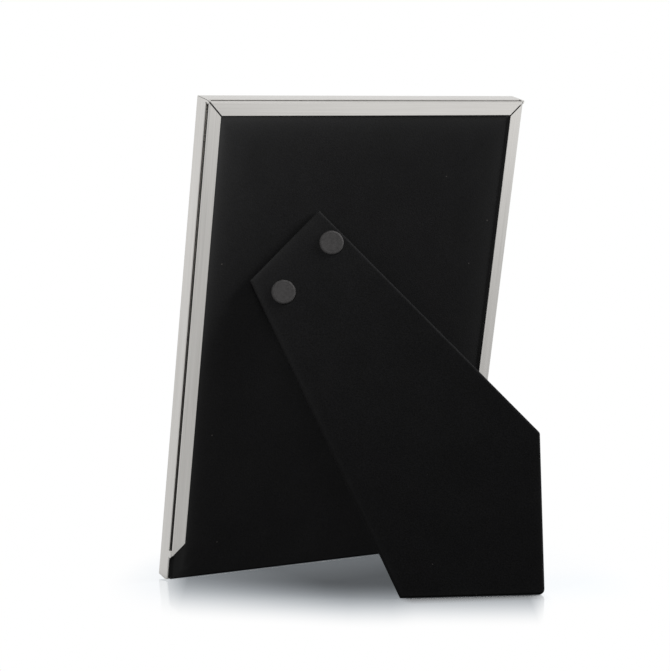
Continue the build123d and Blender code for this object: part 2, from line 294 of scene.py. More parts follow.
def inset_corners(corners, inset):
    """Corners of the outline drawn in: each moves by inset x (sum of its edges' inward normals) / (1 + their
    product)."""
    normal = left_of(unit(np.roll(corners, -1, axis=0) - corners))
    before = np.roll(normal, 1, axis=0)
    return corners + inset * (before + normal) / (1 + (before * normal).sum(1, keepdims=True))


def quarter_turns(radius, steps=6):
    """How far in and how far down the points of a rounded edge lie, from the face to the side."""
    turn = np.linspace(0, pi / 2, steps + 1)
    return radius * (1 - np.sin(turn)), radius * (1 - np.cos(turn))


def glue_waves(x, y):
    """How uneven the glue leaves the face, from 0 to 1: a sum of three slow sine waves, of 9, 13 and 7 mm a radian."""
    return (np.sin(x / (9 * mm) + 1.3) + np.sin(y / (13 * mm)) + np.sin((x + y) / (7 * mm) + 0.7)) / 6 + 0.5


def wrap_board(corners, radii, low, high, turn_in):
    """Rings of a wrapped board as (x, y, level, chart, fold). A ring is the outline drawn in by an inset, then drawn
    towards the middle by a share, closer together near the edge. The face sinks by the glue's waves, away from its
    edge. The fold falls from 1 at the edge by exp(-inset / fold reach)."""
    corners, radii = np.asarray(corners) * mm, np.asarray(radii) * mm
    middle = corners.mean(0)
    into, down = quarter_turns(velvet_soft)
    face = [(rim_width, high, share) for share in 1 - (1 - hub) * np.linspace(1, 0, face_rings) ** crowding]
    rim = [(inset, high, 1) for inset in np.linspace(rim_width, velvet_soft, rim_rings)[1:-1]]
    over = list(zip(into, high - down, np.ones_like(into)))
    under = list(zip(into[::-1], low + down[::-1], np.ones_like(into)))
    behind = [(inset, low, 1) for inset in np.linspace(velvet_soft, turn_in, behind_rings)[1:]]
    inner_low, inner_high = low + velvet, high - velvet
    inside = [(turn_in, inner_low, 1), (velvet, inner_low, 1), (velvet, inner_high, 1)]
    inside += [(rim_width, inner_high, 1), (rim_width, inner_high, hub)]
    path = face + rim + over + under + behind + inside
    insets, levels, shares = np.array(path).T
    drawn_in = [(inset_corners(corners, inset), np.maximum(radii - inset, least_radius)) for inset in insets]
    loops = np.stack([rounded_loop(*outline, corner_steps, side_steps) for outline in drawn_in])
    loops = middle + (loops - middle) * shares[:, None, None]
    x, y = loops[..., 0], loops[..., 1]
    ring = np.arange(len(path))
    on_face = (ring < len(face)) * np.clip((1 - shares) / flat_share, 0, 1)
    folded = (ring < len(face + rim + over + under)) * np.exp(-insets / fold_reach)
    return x, y, levels[:, None] - glue_wave * glue_waves(x, y) * on_face[:, None], loops, folded[:, None] + 0 * x


print("the cloth is", velvet / mm, "mm thick and turns over an edge in an arc of", velvet_soft / mm, "mm")

# %% [markdown]
# Velvet here is given painted light: a paler tone mixed in as a painted glow beside the lips, which also fills their
# cast shadow, as a painted sheen on the leg's folded edges, as a painted highlight near the hinge, and a touch all over
# the back, so that it reads lighter than the leg. That could be painted by hand, but here it follows from the shape, so
# it is worked out at each point and kept on the mesh as a number.

# %% Painted light on the cloth
# How much painted glow the back gets beside the lips, and how far it reaches.
glow_shares, glow_reaches, glow_lost = (0.6, 0.3), (1 * mm, 5 * mm), 0.45


def mark_painted_light(piece, worn):
    """Keeps the painted light at each point, as a number that the velvet can read: how much of a paler tone it mixes
    in.
    """
    piece.data.attributes.new("painted_light", "FLOAT", "POINT").data.foreach_set("value", worn.ravel().astype(np.float32))


def painted_glow_by_lips(x, y):
    """Painted light on the back beside the lips: a painted glow that also fills the lips' cast shadow, made of two
    exponential falls, over 1 and 5 mm, from the nearest lip. It drops evenly to about half below the lips' lower ends."""
    to_lip = np.minimum(half_width - lip_width - np.abs(x), frame_height - lip_width - y).clip(0)
    below_lips = np.clip((lip_start + lip_width - y) / lip_width, 0, 1)
    weighted = sum(share * np.exp(-to_lip / reach) for share, reach in zip(glow_shares, glow_reaches))
    return weighted * (1 - glow_lost * below_lips)


at_lip = painted_glow_by_lips(half_width - lip_width, frame_height / 2)
print("beside a lip the wear is", round(float(at_lip), 2), "of 1")

# %% The back's velvet
back_low, back_high, back_half, back_corner = 0.596, 183.05, 66.05, 0.6
back_corners = [(-back_half, back_low), (back_half, back_low), (back_half, back_high), (-back_half, back_high)]
back_front, back_rear, back_turn_in = 6.4 * mm, 8.5 * mm, 9 * mm
# A small painted lift of light all over the back, so that its velvet reads lighter than the leg's.
back_painted_lift = 0.04
x, y, level, chart, _ = wrap_board(back_corners, [back_corner] * 4, back_front, back_rear, back_turn_in)
back_points = place(frame_base, [across, upward, rearward], x, y, level)
velvet_back = make_piece("velvet_back", "easel_back", "back_cover", [(back_points, chart)])
mark_painted_light(velvet_back, back_painted_lift + (1 - back_painted_lift) * painted_glow_by_lips(x, y))

# %% The leg's velvet
leg_corners = [(-63.459, -114.9), (-25.611, -152.749), (16.296, -110.842), (18.3, 4.599), (-18.3, 4.599)]
leg_radii = [0.6, 2.0, 1.5, 0.5, 0.5]
leg_inner, leg_outer, leg_turn_in = 1.4 * mm, 3.6 * mm, 6 * mm
fold_sheen, hinge_highlight, hinge_reach, side_change = 0.26, 0.11, 6 * mm, 20 * mm
leg_axes = [pin_way, leg_up, leg_out]
x, y, level, chart, folded = wrap_board(leg_corners, leg_radii, leg_inner, leg_outer, leg_turn_in)
leg_points = place(pin_middle, leg_axes, x, y, level)
velvet_leg = make_piece("velvet_leg", "leg", "leg_cover", [(leg_points, chart)])
# A painted sheen on the leg's folded edges, fading out towards the side that faces the side box.
away_from_side_box = np.clip(0.5 - x / side_change, 0, 1)
# A painted highlight along the leg's hinge end, fading over the hinge reach.
near_hinge = np.exp((y - leg_corners[-1][1] * mm) / hinge_reach)
mark_painted_light(velvet_leg, fold_sheen * folded * away_from_side_box + hinge_highlight * near_hinge)

# %% [markdown]
# Two tubular rivets hold the leg to its hinge leaf. The head is a flat disc with a rounded edge and a faint pressed
# ring, and the tail is rolled over behind the leaf. A cylinder would miss all of that, so the rivet is a profile of
# radius and height, turned about its axis like work on a lathe.

# %% A turned rivet
head_flat, head_edge, head_dish, pole = 3.7, 0.8, 0.08, 0.05
ring_radius, ring_width, ring_depth = 3.35, 0.14, 0.035
shank, bore, grip = 1.5, 0.9, 2.8
tail_radius, tail_thick, tail_roll = 2.3, 0.45, 0.2
rivet_drop, rivet_spread = 7 * mm, 12.75 * mm
head_points, turn_points = 40, 72


def arc(centre, radius, start, end, steps=6):
    """Points of an arc between two angles in degrees."""
    turn = np.radians(np.linspace(start, end, steps + 1))
    return np.stack([centre[0] + radius * np.cos(turn), centre[1] + radius * np.sin(turn)], -1)


def rivet_profile():
    """Radius and height from the middle of the head to the bottom of the bore. The head's top is dished by a parabola
    and has a ring pressed in as a bell curve."""
    radius = np.linspace(pole, head_flat, head_points)
    pressed = ring_depth * np.exp(-(((radius - ring_radius) / ring_width) ** 2))
    head = np.stack([radius, head_edge - head_dish + head_dish * (radius / head_flat) ** 2 - pressed], -1)
    tail_top, tail_low = -grip, -grip - tail_thick
    return np.concatenate(
        [
            head,
            arc((head_flat, 0), head_edge, 84, 0),
            [(shank, 0), (shank, tail_top)],
            arc((tail_radius - tail_roll, tail_top - tail_roll), tail_roll, 90, 0),
            arc((tail_radius - tail_roll, tail_low + tail_roll), tail_roll, 0, -90),
            arc((bore + tail_roll, tail_low + tail_roll), tail_roll, 270, 180),
            [(bore, -grip / 2), (pole, -grip / 2)],
        ]
    )


def make_rivet(name, node, along):
    """The profile turned about the rivet's axis, set on the leg's face at its place along the hinge."""
    radius, height = rivet_profile().T[:, :, None] * mm
    turn = np.linspace(0, 2 * pi, turn_points, endpoint=False)
    x, y = along + radius * np.cos(turn), -rivet_drop + radius * np.sin(turn)
    level = leg_outer + height + 0 * x
    points = place(pin_middle, leg_axes, x, y, level)
    return make_piece(name, "leg", node, [(points, np.stack([x, y], -1))])


lower_rivet = make_rivet("lower_rivet", "leg_rivet_lower", -rivet_spread)
upper_rivet = make_rivet("upper_rivet", "leg_rivet_upper", rivet_spread)

# %% [markdown]
# The finishes come next. Colours are written as the eye picks them from a screen, in sRGB hex, and one function turns
# them into the linear numbers that Blender calculates with. One more function adds a node, so that each material below
# reads as a list of what it is made from.


# %% Helpers for materials
def hex_colour(code):
    """Linear red, green and blue of an sRGB hex colour: below 0.04045 by division, above it by a power of 2.4."""
    value = np.array([int(code[i : i + 2], 16) for i in (1, 3, 5)]) / 255
    linear = np.where(value <= 0.04045, value / 12.92, ((value + 0.055) / 1.055) ** 2.4)
    return (*linear.tolist(), 1.0)


def add(tree, kind, inputs=None, **settings):
    """Adds a node: settings go on the node, and an input takes a link from a socket or a plain value."""
    made = tree.nodes.new(kind)
    for key, value in settings.items():
        setattr(made, key, value)
    for key, value in (inputs or {}).items():
        if isinstance(value, bpy.types.NodeSocket):
            tree.links.new(value, made.inputs[key])
        else:
            made.inputs[key].default_value = value
    return made


def new_material(name):
    """A material with an empty tree of nodes."""
    material = bpy.data.materials.new(name)
    material.use_nodes = True
    material.node_tree.nodes.clear()
    return material, material.node_tree


def coat(material, *pieces):
    """Gives pieces, or CAD nodes by name, this one material."""
    for piece in pieces:
        data = (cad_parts[piece] if isinstance(piece, str) else piece).data
        data.materials.clear()
        data.materials.append(material)
    print(material.name, "is on", len(pieces), "pieces")


print("half grey on a screen is", round(hex_colour("#808080")[0], 3), "in linear light")

# %% [markdown]
# The rails are stainless steel sheet, rubbed along its length with a fine abrasive. To the eye that gives a soft, pale
# grey shine with faint streaks along each rail. The streaks follow each rail's own chart, so they turn the corner with
# the mitre. Real scratches are about 0.05 mm apart, which is too fine to show here, so they are drawn at 0.7 mm.

# %% Satin brushed stainless steel
steel, tree = new_material("satin brushed stainless steel")
rail_chart = add(tree, "ShaderNodeUVMap", uv_map="chart")
streak_scale = (1 / (55 * mm), 1 / (0.7 * mm), 1)
streak_place = add(tree, "ShaderNodeMapping", {"Vector": rail_chart.outputs[0], "Scale": streak_scale})
streaks = add(
    tree, "ShaderNodeTexNoise", {"Vector": streak_place.outputs[0], "Scale": 1, "Detail": 4, "Roughness": 0.65}
)
solid = add(tree, "ShaderNodeTexCoord")
smudges = add(tree, "ShaderNodeTexNoise", {"Vector": solid.outputs["Object"], "Scale": 1 / (28 * mm), "Detail": 2})
tone = add(
    tree,
    "ShaderNodeMix",
    {"Factor": streaks.outputs[0], "A": hex_colour("#B8B6B2"), "B": hex_colour("#DDDBD8")},
    data_type="RGBA",
)
weighted = add(tree, "ShaderNodeMath", {0: streaks.outputs[0], 1: 0.16}, operation="MULTIPLY")
rough = add(tree, "ShaderNodeMath", {0: smudges.outputs[0], 1: 0.1, 2: weighted.outputs[0]}, operation="MULTIPLY_ADD")
rough_more = add(tree, "ShaderNodeMath", {0: rough.outputs[0], 1: 0.2}, operation="ADD")
scratch = add(tree, "ShaderNodeBump", {"Strength": 0.25, "Distance": 0.02 * mm, "Height": streaks.outputs[0]})
shader = add(
    tree,
    "ShaderNodeBsdfPrincipled",
    {
        "Base Color": tone.outputs["Result"],
        "Metallic": 1.0,
        "Roughness": rough_more.outputs[0],
        "Normal": scratch.outputs[0],
    },
)
add(tree, "ShaderNodeOutputMaterial", {"Surface": shader.outputs[0]})
coat(steel, right_rail, left_rail, top_rail, bottom_rail)

# %% [markdown]
# The velvet is a short, dense cotton pile. Seen straight on it swallows the light, and at a slant its fibre tips give a
# soft pale sheen, which the shader's own sheen makes. The number kept on the mesh mixes in a paler tone as painted
# light: a painted glow beside the lips that also fills their cast shadow, a painted sheen on the leg's folded edges, a
# painted highlight near the hinge, and a small lift all over the back.
# The pile is never brushed quite evenly, so slow patches differ a little, and a few specks of lint sit on it. Single
# fibres are about 0.05 mm thick and are drawn as a 0.5 mm grain.

# %% Black cotton velvet
cloth, tree = new_material("black cotton velvet")
solid = add(tree, "ShaderNodeTexCoord")
here = solid.outputs["Object"]
grain = add(tree, "ShaderNodeTexNoise", {"Vector": here, "Scale": 1 / (0.5 * mm), "Detail": 2})
nap = add(tree, "ShaderNodeTexNoise", {"Vector": here, "Scale": 1 / (14 * mm), "Detail": 3, "Roughness": 0.6})
even_nap = add(tree, "ShaderNodeMath", {0: nap.outputs[0], 1: 0.35, 2: 0.32}, operation="MULTIPLY_ADD")
shade = add(tree, "ShaderNodeMath", {0: grain.outputs[0], 1: even_nap.outputs[0]}, operation="MULTIPLY")
pile = add(
    tree,
    "ShaderNodeMix",
    {"Factor": shade.outputs[0], "A": hex_colour("#0B0B0B"), "B": hex_colour("#272728")},
    data_type="RGBA",
)
# The number kept on the mesh is painted light: it mixes in a paler tone as painted glow, sheen and highlight.
painted_light = add(tree, "ShaderNodeAttribute", attribute_name="painted_light", attribute_type="GEOMETRY")
with_painted_light = add(
    tree,
    "ShaderNodeMix",
    {"Factor": painted_light.outputs["Fac"], "A": pile.outputs["Result"], "B": hex_colour("#343434")},
    data_type="RGBA",
)
cells = add(tree, "ShaderNodeTexVoronoi", {"Vector": here, "Scale": 1 / (7 * mm)})
near = add(tree, "ShaderNodeMath", {0: cells.outputs["Distance"], 1: 0.035}, operation="LESS_THAN")
chosen = add(tree, "ShaderNodeSeparateColor", {"Color": cells.outputs["Color"]})
some = add(tree, "ShaderNodeMath", {0: chosen.outputs[0], 1: 0.55}, operation="GREATER_THAN")
speck = add(tree, "ShaderNodeMath", {0: near.outputs[0], 1: some.outputs[0]}, operation="MULTIPLY")
dusted = add(
    tree,
    "ShaderNodeMix",
    {"Factor": speck.outputs[0], "A": with_painted_light.outputs["Result"], "B": hex_colour("#413F3D")},
    data_type="RGBA",
)
fibres = add(tree, "ShaderNodeBump", {"Strength": 0.5, "Distance": 0.12 * mm, "Height": grain.outputs[0]})
shader = add(
    tree,
    "ShaderNodeBsdfPrincipled",
    {
        "Base Color": dusted.outputs["Result"],
        "Roughness": 0.95,
        "Specular IOR Level": 0.02,
        "Sheen Weight": 0.035,
        "Sheen Roughness": 0.3,
        "Sheen Tint": hex_colour("#8A8A8C"),
        "Normal": fibres.outputs[0],
    },
)
add(tree, "ShaderNodeOutputMaterial", {"Surface": shader.outputs[0]})
coat(cloth, velvet_back, velvet_leg)

# %% [markdown]
# The rivets are mild steel with a dark phosphate coat, which is matt and a little mottled. The hinge is black stoved
# enamel, smooth and slightly glossy. Both are thin coats over steel, and neither looks metallic, so the shader stays a
# dielectric.

# %% Phosphated steel
phosphate, tree = new_material("dark phosphated steel")
solid = add(tree, "ShaderNodeTexCoord")
here = solid.outputs["Object"]
mottle = add(tree, "ShaderNodeTexNoise", {"Vector": here, "Scale": 1 / (1.1 * mm), "Detail": 4, "Roughness": 0.6})
tone = add(
    tree,
    "ShaderNodeMix",
    {"Factor": mottle.outputs[0], "A": hex_colour("#1C1B1B"), "B": hex_colour("#3A3939")},
    data_type="RGBA",
)
pits = add(tree, "ShaderNodeBump", {"Strength": 0.4, "Distance": 0.05 * mm, "Height": mottle.outputs[0]})
shader = add(
    tree,
    "ShaderNodeBsdfPrincipled",
    {"Base Color": tone.outputs["Result"], "Roughness": 0.55, "Specular IOR Level": 0.25, "Normal": pits.outputs[0]},
)
add(tree, "ShaderNodeOutputMaterial", {"Surface": shader.outputs[0]})
coat(phosphate, lower_rivet, upper_rivet, "back_rivet_lower", "back_rivet_upper")

# %% Enamelled steel
enamel, tree = new_material("black stoved enamel on steel")
solid = add(tree, "ShaderNodeTexCoord")
orange_peel = add(tree, "ShaderNodeTexNoise", {"Vector": solid.outputs["Object"], "Scale": 1 / (0.9 * mm), "Detail": 2})
gloss = add(tree, "ShaderNodeMath", {0: orange_peel.outputs[0], 1: 0.2, 2: 0.25}, operation="MULTIPLY_ADD")
skin = add(tree, "ShaderNodeBump", {"Strength": 0.2, "Distance": 0.02 * mm, "Height": orange_peel.outputs[0]})
shader = add(
    tree,
    "ShaderNodeBsdfPrincipled",
    {"Base Color": hex_colour("#141415"), "Roughness": gloss.outputs[0], "Normal": skin.outputs[0]},
)
add(tree, "ShaderNodeOutputMaterial", {"Surface": shader.outputs[0]})
coat(enamel, "hinge_fixed_leaf", "hinge_swing_leaf", "hinge_pin")

# %% [markdown]
# Behind the front face lie a pane of float glass, a paper insert and a filler card. The insert is a plain printed sheet
# with a white margin: the print's edge is found by measuring up and across the leaning frame, so a Mapping node leans
# the coordinates with it. The boards are hardboard, and dark paper lines the turned-in cloth.

# %% Float glass
glass, tree = new_material("clear float glass")
solid = add(tree, "ShaderNodeTexCoord")
ripple = add(tree, "ShaderNodeTexNoise", {"Vector": solid.outputs["Object"], "Scale": 1 / (60 * mm), "Detail": 0})
float_wave = add(tree, "ShaderNodeBump", {"Strength": 0.1, "Distance": 0.05 * mm, "Height": ripple.outputs[0]})
shader = add(
    tree,
    "ShaderNodeBsdfPrincipled",
    {
        "Base Color": hex_colour("#FAFDFB"),
        "Roughness": 0.0,
        "IOR": 1.52,
        "Transmission Weight": 1.0,
        "Normal": float_wave.outputs[0],
    },
)
add(tree, "ShaderNodeOutputMaterial", {"Surface": shader.outputs[0]})
coat(glass, "glass_pane")

# %% Printed insert paper
print_half_width, print_middle, print_half_height = 54 * mm, 92 * mm, 79 * mm
print_low, print_high = print_middle - print_half_height, print_middle + print_half_height
insert, tree = new_material("printed insert paper")
solid = add(tree, "ShaderNodeTexCoord")
leaned = add(
    tree,
    "ShaderNodeMapping",
    {"Vector": solid.outputs["Object"], "Location": frame_base.tolist(), "Rotation": (-lean, 0, 0)},
    vector_type="TEXTURE",
)
sides = add(tree, "ShaderNodeSeparateXYZ", {"Vector": leaned.outputs[0]})
wide, tall = sides.outputs["X"], sides.outputs["Z"]
across_print = add(tree, "ShaderNodeMath", {0: wide, 1: 0.0, 2: print_half_width}, operation="COMPARE")
up_print = add(tree, "ShaderNodeMath", {0: tall, 1: print_middle, 2: print_half_height}, operation="COMPARE")
printed = add(tree, "ShaderNodeMath", {0: across_print.outputs[0], 1: up_print.outputs[0]}, operation="MULTIPLY")
height = add(tree, "ShaderNodeMapRange", {"Value": tall, "From Min": print_low, "From Max": print_high})
wash = add(
    tree,
    "ShaderNodeMix",
    {"Factor": height.outputs[0], "A": hex_colour("#B9BDBC"), "B": hex_colour("#DCDFDD")},
    data_type="RGBA",
)
fibre = add(tree, "ShaderNodeTexNoise", {"Vector": solid.outputs["Object"], "Scale": 1 / (0.6 * mm), "Detail": 3})
sheet_tone = add(
    tree,
    "ShaderNodeMix",
    {"Factor": fibre.outputs[0], "A": hex_colour("#F1EFE9"), "B": hex_colour("#F8F6F1")},
    data_type="RGBA",
)
print_tone = add(
    tree,
    "ShaderNodeMix",
    {"Factor": printed.outputs[0], "A": sheet_tone.outputs["Result"], "B": wash.outputs["Result"]},
    data_type="RGBA",
)
tooth = add(tree, "ShaderNodeBump", {"Strength": 0.15, "Distance": 0.03 * mm, "Height": fibre.outputs[0]})
shader = add(
    tree,
    "ShaderNodeBsdfPrincipled",
    {"Base Color": print_tone.outputs["Result"], "Roughness": 0.6, "Normal": tooth.outputs[0]},
)
add(tree, "ShaderNodeOutputMaterial", {"Surface": shader.outputs[0]})
coat(insert, "photo_insert")


# %% Card, hardboard and lining paper
def fibre_board(name, dark, pale, grain_size, roughness):
    """Pressed fibre: two tones mixed by a noise of the fibre's size, which also roughens the surface."""
    material, tree = new_material(name)
    here = add(tree, "ShaderNodeTexCoord").outputs["Object"]
    strands = add(tree, "ShaderNodeTexNoise", {"Vector": here, "Scale": 1 / grain_size, "Detail": 5, "Roughness": 0.7})
    tone = add(
        tree,
        "ShaderNodeMix",
        {"Factor": strands.outputs[0], "A": hex_colour(dark), "B": hex_colour(pale)},
        data_type="RGBA",
    )
    relief = add(tree, "ShaderNodeBump", {"Strength": 0.3, "Distance": 0.05 * mm, "Height": strands.outputs[0]})
    shader = add(
        tree,
        "ShaderNodeBsdfPrincipled",
        {"Base Color": tone.outputs["Result"], "Roughness": roughness, "Normal": relief.outputs[0]},
    )
    add(tree, "ShaderNodeOutputMaterial", {"Surface": shader.outputs[0]})
    return material


coat(fibre_board("grey filler card", "#8C877E", "#A8A399", 0.8 * mm, 0.9), "filler_board")
coat(fibre_board("pressed hardboard", "#5B3F2A", "#7E5B3E", 1.2 * mm, 0.7), "back_board", "leg_board")
coat(fibre_board("black lining paper", "#161617", "#242425", 0.7 * mm, 0.85), "back_lining", "leg_lining")

# %% [markdown]
# The camera repeats the photograph's view: a long lens, a little above the frame's middle and to one side of its back.
# Its place comes from fitting the corners of rails, leg and rivets to where they appear.

# %% Camera
focal_pixels, image_side, sensor = 2066.11, 671, 36
eye_distance, eye_turn, eye_rise, eye_roll = 791.632 * mm, radians(29.117), radians(6.564), radians(0.113)
looks_at = Vector((0.277, -29.958, 90.229)) * mm
away = Vector((sin(eye_turn) * cos(eye_rise), cos(eye_turn) * cos(eye_rise), sin(eye_rise)))
camera_data = bpy.data.cameras.new("camera")
camera_data.sensor_width = sensor
camera_data.lens = focal_pixels * sensor / image_side
camera = bpy.data.objects.new("camera", camera_data)
camera.location = looks_at + away * eye_distance
camera.rotation_mode = "QUATERNION"
turned = Matrix.Rotation(eye_roll, 3, away) @ (-away).to_track_quat("-Z", "Y").to_matrix()
camera.rotation_quaternion = turned.to_quaternion()
bpy.context.scene.collection.objects.link(camera)
bpy.context.scene.camera = camera
bpy.context.scene.view_settings.view_transform = "Standard"
print("the lens is", round(camera_data.lens, 1), "mm long on a sensor of", sensor, "mm")

# %% [markdown]
# The stage is a sheet of polished white board in a white surround. A bright world would do for the white, but it would
# also flood the velvet with light. So the world is white to the camera and in reflections, and much weaker as a light,
# and the lamps give the velvet its fall from top to bottom.

# %% World
plain_white, weak_white = hex_colour("#FFFFFF"), hex_colour("#8E8F90")
world = bpy.data.worlds.new("white surround")
bpy.context.scene.world = world
world.use_nodes = True
tree = world.node_tree
tree.nodes.clear()
path = add(tree, "ShaderNodeLightPath")
glossy, through = path.outputs["Is Glossy Ray"], path.outputs["Is Transmission Ray"]
mirrored = add(tree, "ShaderNodeMath", {0: glossy, 1: through}, operation="MAXIMUM")
shown = add(tree, "ShaderNodeMath", {0: path.outputs["Is Camera Ray"], 1: mirrored.outputs[0]}, operation="MAXIMUM")
surround = add(
    tree,
    "ShaderNodeMix",
    {"Factor": shown.outputs[0], "A": weak_white, "B": plain_white},
    data_type="RGBA",
)
sky = add(tree, "ShaderNodeBackground", {"Color": surround.outputs["Result"], "Strength": 1.0})
add(tree, "ShaderNodeOutputWorld", {"Surface": sky.outputs[0]})
print("the surround is white, and as a light it has", round(weak_white[0], 2), "of that strength")

# %% [markdown]
# The board is one large square, far wider than any view. Its finish is measured from places on it: the distance from
# the frame, and two directions fixed on the board, forwards and sideways of the photograph's view. Nothing follows the
# camera, so the finish stays where it is in other views.

# %% The board and places on it
floor_reach = 6.0
floor_corners = floor_reach * np.array([(-1, -1, 0), (1, -1, 0), (1, 1, 0), (-1, 1, 0)])
floor_mesh = bpy.data.meshes.new("floor")
floor_mesh.from_pydata(floor_corners, [], [(0, 1, 2, 3)])
floor = bpy.data.objects.new("floor", floor_mesh)
bpy.context.scene.collection.objects.link(floor)

white_board, tree = new_material("polished white board")
floor_mesh.materials.append(white_board)
path = add(tree, "ShaderNodeLightPath")
seen, glossy, through = (path.outputs[f"Is {ray} Ray"] for ray in ("Camera", "Glossy", "Transmission"))
spot = add(tree, "ShaderNodeTexCoord").outputs["Object"]
forwards, to_side = (sin(eye_turn), cos(eye_turn), 0), (-cos(eye_turn), sin(eye_turn), 0)
ahead = add(tree, "ShaderNodeVectorMath", {0: spot, 1: forwards}, operation="DOT_PRODUCT").outputs["Value"]
sideways = add(tree, "ShaderNodeVectorMath", {0: spot, 1: to_side}, operation="DOT_PRODUCT").outputs["Value"]
distance = add(tree, "ShaderNodeVectorMath", {0: spot}, operation="LENGTH").outputs["Value"]
sides = add(tree, "ShaderNodeSeparateXYZ", {"Vector": spot})
print("the board is", 2 * floor_reach, "m wide")

# %% [markdown]
# The polish mirrors the frame's lower edge, and the mirror image fades out forwards. It fades sooner on the left and
# past the foot, is a little duller on the left and towards the rail, and is weak at the left corner. A glossy shader
# of a single strength would mirror the whole frame, so a share says where the mirror shows.

# %% Where the board mirrors
nearer = add(
    tree, "ShaderNodeMapRange", {"Value": sideways, "From Min": -10 * mm, "From Max": -75 * mm, "To Max": 14 * mm}
)
at_foot = add(
    tree, "ShaderNodeMapRange", {"Value": sideways, "From Min": 6 * mm, "From Max": 14 * mm, "To Max": 3 * mm}
)
past_foot = add(
    tree, "ShaderNodeMapRange", {"Value": sideways, "From Min": 56 * mm, "From Max": 65 * mm, "To Max": 30 * mm}
)
on_left = add(tree, "ShaderNodeMath", {0: ahead, 1: nearer.outputs[0]}, operation="ADD")
on_right = add(tree, "ShaderNodeMath", {0: at_foot.outputs[0], 1: past_foot.outputs[0]}, operation="ADD")
fading = add(tree, "ShaderNodeMath", {0: on_left.outputs[0], 1: on_right.outputs[0]}, operation="ADD")
fade = add(
    tree,
    "ShaderNodeMapRange",
    {"Value": fading.outputs[0], "From Min": 70 * mm, "From Max": 0.0, "To Max": 0.88},
    interpolation_type="SMOOTHSTEP",
)
left_dull = add(
    tree,
    "ShaderNodeMapRange",
    {"Value": sideways, "From Min": -18 * mm, "From Max": -72 * mm, "To Min": 1.0, "To Max": 0.79},
)
corner_dull = add(
    tree,
    "ShaderNodeMapRange",
    {"Value": sideways, "From Min": -70 * mm, "From Max": -78 * mm, "To Min": 1.0, "To Max": 0.5},
)
rail_dull = add(
    tree,
    "ShaderNodeMapRange",
    {"Value": sides.outputs["Y"], "From Min": -8 * mm, "From Max": -38 * mm, "To Min": 1.0, "To Max": 0.92},
)
left_part = add(tree, "ShaderNodeMath", {0: left_dull.outputs[0], 1: corner_dull.outputs[0]}, operation="MULTIPLY")
dulled = add(tree, "ShaderNodeMath", {0: left_part.outputs[0], 1: rail_dull.outputs[0]}, operation="MINIMUM")
polish = add(tree, "ShaderNodeMath", {0: fade.outputs[0], 1: dulled.outputs[0]}, operation="MULTIPLY")
near = add(
    tree,
    "ShaderNodeMapRange",
    {"Value": distance, "From Min": 250 * mm, "From Max": 130 * mm},
    interpolation_type="SMOOTHSTEP",
)
seen_near = add(tree, "ShaderNodeMath", {0: near.outputs[0], 1: seen}, operation="MULTIPLY")
mirror_share = add(tree, "ShaderNodeMath", {0: polish.outputs[0], 1: seen_near.outputs[0]}, operation="MULTIPLY")
print("the mirror takes", len(tree.nodes), "nodes so far")

# %% [markdown]
# The frame's own shadow shows only close to it: beyond that the camera sees plain white. Under the edge of the foot
# the board is darkest, in a narrow strip that fades on all four sides.

# %% Where the board keeps its shade
foot_front, foot_along = (0.382, 0.924, 0), (-0.924, 0.382, 0)
foot_line, foot_middle = 28 * mm, 32.7 * mm
close = add(
    tree,
    "ShaderNodeMapRange",
    {"Value": distance, "From Min": 103 * mm, "From Max": 78 * mm, "To Max": 0.5},
    interpolation_type="SMOOTHSTEP",
)
soft_shade = add(tree, "ShaderNodeMath", {0: polish.outputs[0], 1: close.outputs[0]}, operation="MULTIPLY")
before_foot = add(tree, "ShaderNodeVectorMath", {0: spot, 1: foot_front}, operation="DOT_PRODUCT")
along_foot = add(tree, "ShaderNodeVectorMath", {0: spot, 1: foot_along}, operation="DOT_PRODUCT")
from_line = add(tree, "ShaderNodeMath", {0: before_foot.outputs["Value"], 1: foot_line}, operation="SUBTRACT")
from_middle = add(tree, "ShaderNodeMath", {0: along_foot.outputs["Value"], 1: foot_middle}, operation="SUBTRACT")
off_foot = add(tree, "ShaderNodeMath", {0: from_line.outputs[0]}, operation="ABSOLUTE")
past_end = add(tree, "ShaderNodeMath", {0: from_middle.outputs[0]}, operation="ABSOLUTE")
foot_dark = add(tree, "ShaderNodeMapRange", {"Value": off_foot.outputs[0], "From Min": 9 * mm, "From Max": 0.0})
foot_inside = add(tree, "ShaderNodeMapRange", {"Value": past_end.outputs[0], "From Min": 29 * mm, "From Max": 23 * mm})
contact = add(tree, "ShaderNodeMath", {0: foot_dark.outputs[0], 1: foot_inside.outputs[0]}, operation="MULTIPLY")
shade_share = add(tree, "ShaderNodeMath", {0: soft_shade.outputs[0], 1: contact.outputs[0]}, operation="MAXIMUM")
print("mirror and shade take", len(tree.nodes), "nodes")

# %% [markdown]
# Metal and glass show the board too. In their reflections it is white, apart from a dark line right under the rails.
# Its glow there rises away from the frame, as it does under a lamp behind the board's far corner, and so the steel gets
# its change of tone from one end of a rail to the other.

